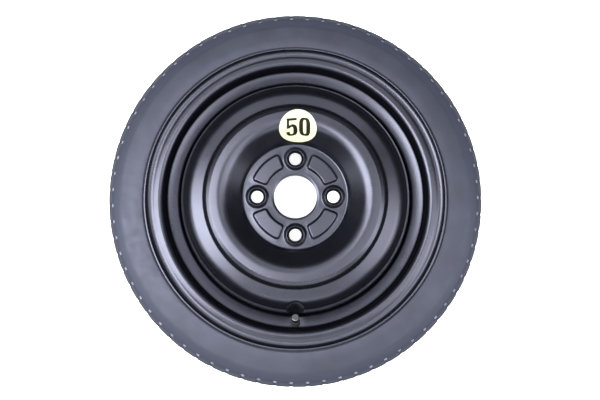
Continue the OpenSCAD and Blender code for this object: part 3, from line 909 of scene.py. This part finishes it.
def valve_stem():
    per_turn = 8
    steps = int((STEM_TIP - 0.5 - THREAD_START) / (THREAD_PITCH / per_turn))
    rows = [(1.85, -7.3), (3.1, -7.3), (3.1, RUBBER_TOP)]
    rows += [(THREAD_R, THREAD_START + k * THREAD_PITCH / per_turn) for k in range(steps + 1)]
    rows += [(THREAD_R - 0.35, STEM_TIP), (2.65, STEM_TIP), (2.65, 14.3), (2.35, 14.3),
             (2.35, 9.0), (1.85, 9.0)]

    def threaded(r, a, z):
        turns = (z - THREAD_START) / THREAD_PITCH
        wave = np.abs((turns - a / (2 * math.pi)) % 1 - 0.5) * 2
        fade = np.clip(turns, 0, 1) * np.clip((STEM_TIP - 0.3 - z) / 0.5, 0, 1)
        return np.where(r == THREAD_R, r - THREAD_DEPTH * (1 - wave) * fade, r), a, z

    v, f = turned(rows, np.arange(0, 360, 10), shape=threaded)
    ob = make("valve_stem_brass", at_valve(v), f, 50)
    stand_in(ob, "valve_stem", "stem_brass", brass)


def valve_cap():
    bore_r, bore_top, top = 3.95, 21.3, CAP_HIGH - 0.02
    outline = rounded([
        (bore_r, CAP_LOW), (CAP_R - 0.3, CAP_LOW), (CAP_R, CAP_LOW + 0.3),
        (CAP_R, CAP_LOW + 1.4), (CAP_R, CAP_LOW + 1.8), (CAP_R, CAP_HIGH - 2),
        (CAP_R, CAP_HIGH - 1.6), (CAP_R, CAP_HIGH - 1.0, 0.3), (CAP_R - 0.4, CAP_HIGH - 0.3, 0.3),
        (CAP_R - 1.2, CAP_HIGH, 0.5), (CAP_R - 2.0, top), (CAP_R - 3.5, top), (0.01, top),
        (0.01, bore_top), (bore_r, bore_top),
    ], 12)
    depth, half_width = 0.3, 0.45

    def knurled(r, a, z):
        off = np.abs((np.degrees(a) * CAP_GRIPS / 360 + 0.5) % 1 - 0.5)
        arc = off * 2 * math.pi * CAP_R / CAP_GRIPS
        fade = (np.clip((z - CAP_LOW - 1.4) / 0.4, 0, 1)
                * np.clip((CAP_HIGH - 1.6 - z) / 0.4, 0, 1))
        dent = np.clip(1 - (arc / half_width) ** 2, 0, 1) ** 0.5 * depth
        return np.where(r > CAP_R - 0.05, r - dent * fade, r), a, z

    v, f = turned(outline, np.arange(0, 360, 2.0), shape=knurled)
    ob = make("cap_knurled", at_valve(v), f, body="cap")
    stand_in(ob, "valve_cap", "cap_metal", cap_metal)


valve_rubber()
valve_stem()
valve_cap()


# Pieces carried over from the CAD part

for name, carried in (("weld_beads", paint_weld), ("core_barrel", brass), ("core_plug", brass),
                      ("core_gasket", soft_red), ("core_pin", brass), ("core_cup", brass),
                      ("core_washer", soft_black), ("core_spring", steel),
                      ("cap_seal", soft_black)):
    piece = nodes[name]
    for place in piece.material_slots:
        place.material = carried
    if not piece.material_slots:
        piece.data.materials.append(carried)


# Stage, in metres

FLOOR_HALF = 3.0
CAMERA_DISTANCE = 0.9
CAMERA_TILT = math.radians(4.16)
CAMERA_AIM = Vector((0, 0, 0.0033))
PICTURE_W, PICTURE_H = 600, 400
CENTRE_X, CENTRE_Y = 295.3, 196.8
FOCAL_PIXELS = 686
SENSOR = 36
LIGHTS_AIM = Vector((0, 0, -0.02))
# Name, place, width and height, power in watts
LIGHTS = (
    ("key", (-0.58, -0.08, 1.22), (0.6, 0.9), 37),
    ("right", (0.66, -0.2, 1.22), (0.62, 0.9), 14),
    ("top", (0.0, 0.62, 1.25), (1.1, 0.45), 6),
    ("bottom", (0.0, -0.8, 1.1), (1.1, 0.45), 7),
    ("overhead", (0.0, 0.0, 1.35), (1.1, 0.6), 4),
    ("low_left", (-1.15, -0.35, 1.05), (0.5, 0.8), 7),
    ("low_right", (1.15, -0.35, 1.05), (0.5, 0.8), 7),
)


def floor_white():
    """A pale floor, which the camera alone sees glow, so that it shows as white."""
    m, tree, shader = material("floor_white", (0.9, 0.9, 0.9), 0.9, spec=0.0)
    glow = tree.nodes.new("ShaderNodeEmission")
    glow.inputs["Strength"].default_value = 0.86
    mix = tree.nodes.new("ShaderNodeMixShader")
    add = tree.nodes.new("ShaderNodeAddShader")
    path = tree.nodes.new("ShaderNodeLightPath")
    tree.links.new(shader.outputs[0], add.inputs[0])
    tree.links.new(glow.outputs[0], add.inputs[1])
    tree.links.new(path.outputs["Is Camera Ray"], mix.inputs["Fac"])
    tree.links.new(shader.outputs[0], mix.inputs[1])
    tree.links.new(add.outputs[0], mix.inputs[2])
    tree.links.new(mix.outputs[0], tree.nodes["Material Output"].inputs["Surface"])
    return m


def lay_floor():
    low, n = cad_box[0][2], FLOOR_HALF
    mesh = bpy.data.meshes.new("floor")
    mesh.from_pydata([(-n, -n, low), (n, -n, low), (n, n, low), (-n, n, low)], [], [(0, 1, 2, 3)])
    floor = bpy.data.objects.new("floor", mesh)
    bpy.context.scene.collection.objects.link(floor)
    mesh.materials.append(floor_white())


def surround():
    """Dark surroundings for the paint to reflect, and a pale background for the camera."""
    world = bpy.data.worlds.new("studio")
    bpy.context.scene.world = world
    world.use_nodes = True
    tree = world.node_tree
    background = tree.nodes["Background"]
    background.inputs["Color"].default_value = (0.97, 0.98, 1.0, 1)
    path = tree.nodes.new("ShaderNodeLightPath")
    sky = spread(tree, path.outputs["Is Camera Ray"], 0.008, 0.95)
    tree.links.new(sky, background.inputs["Strength"])


def light(name, at, size, power):
    """A soft box that looks at the wheel."""
    lamp = bpy.data.lights.new(name, "AREA")
    lamp.shape = "RECTANGLE"
    lamp.size, lamp.size_y = size
    lamp.energy = power
    ob = bpy.data.objects.new(name, lamp)
    ob.location = at
    ob.rotation_euler = (LIGHTS_AIM - Vector(at)).to_track_quat("-Z", "Y").to_euler()
    bpy.context.scene.collection.objects.link(ob)


def set_camera():
    """The camera where the photograph's one stood."""
    cam = bpy.data.cameras.new("camera")
    ob = bpy.data.objects.new("camera", cam)
    bpy.context.scene.collection.objects.link(ob)
    away = Vector((0, -math.sin(CAMERA_TILT), math.cos(CAMERA_TILT)))
    ob.location = CAMERA_AIM + CAMERA_DISTANCE * away
    ob.rotation_euler = (CAMERA_TILT, 0, 0)
    cam.sensor_width = SENSOR
    cam.lens = FOCAL_PIXELS / PICTURE_W * SENSOR
    cam.shift_x = (PICTURE_W / 2 - CENTRE_X) / PICTURE_W
    cam.shift_y = -(PICTURE_H / 2 - CENTRE_Y) / PICTURE_W
    cam.clip_start, cam.clip_end = 0.05, 20
    bpy.context.scene.camera = ob


lay_floor()
surround()
for setting in LIGHTS:
    light(*setting)
set_camera()
bpy.context.scene.view_settings.view_transform = "Standard"
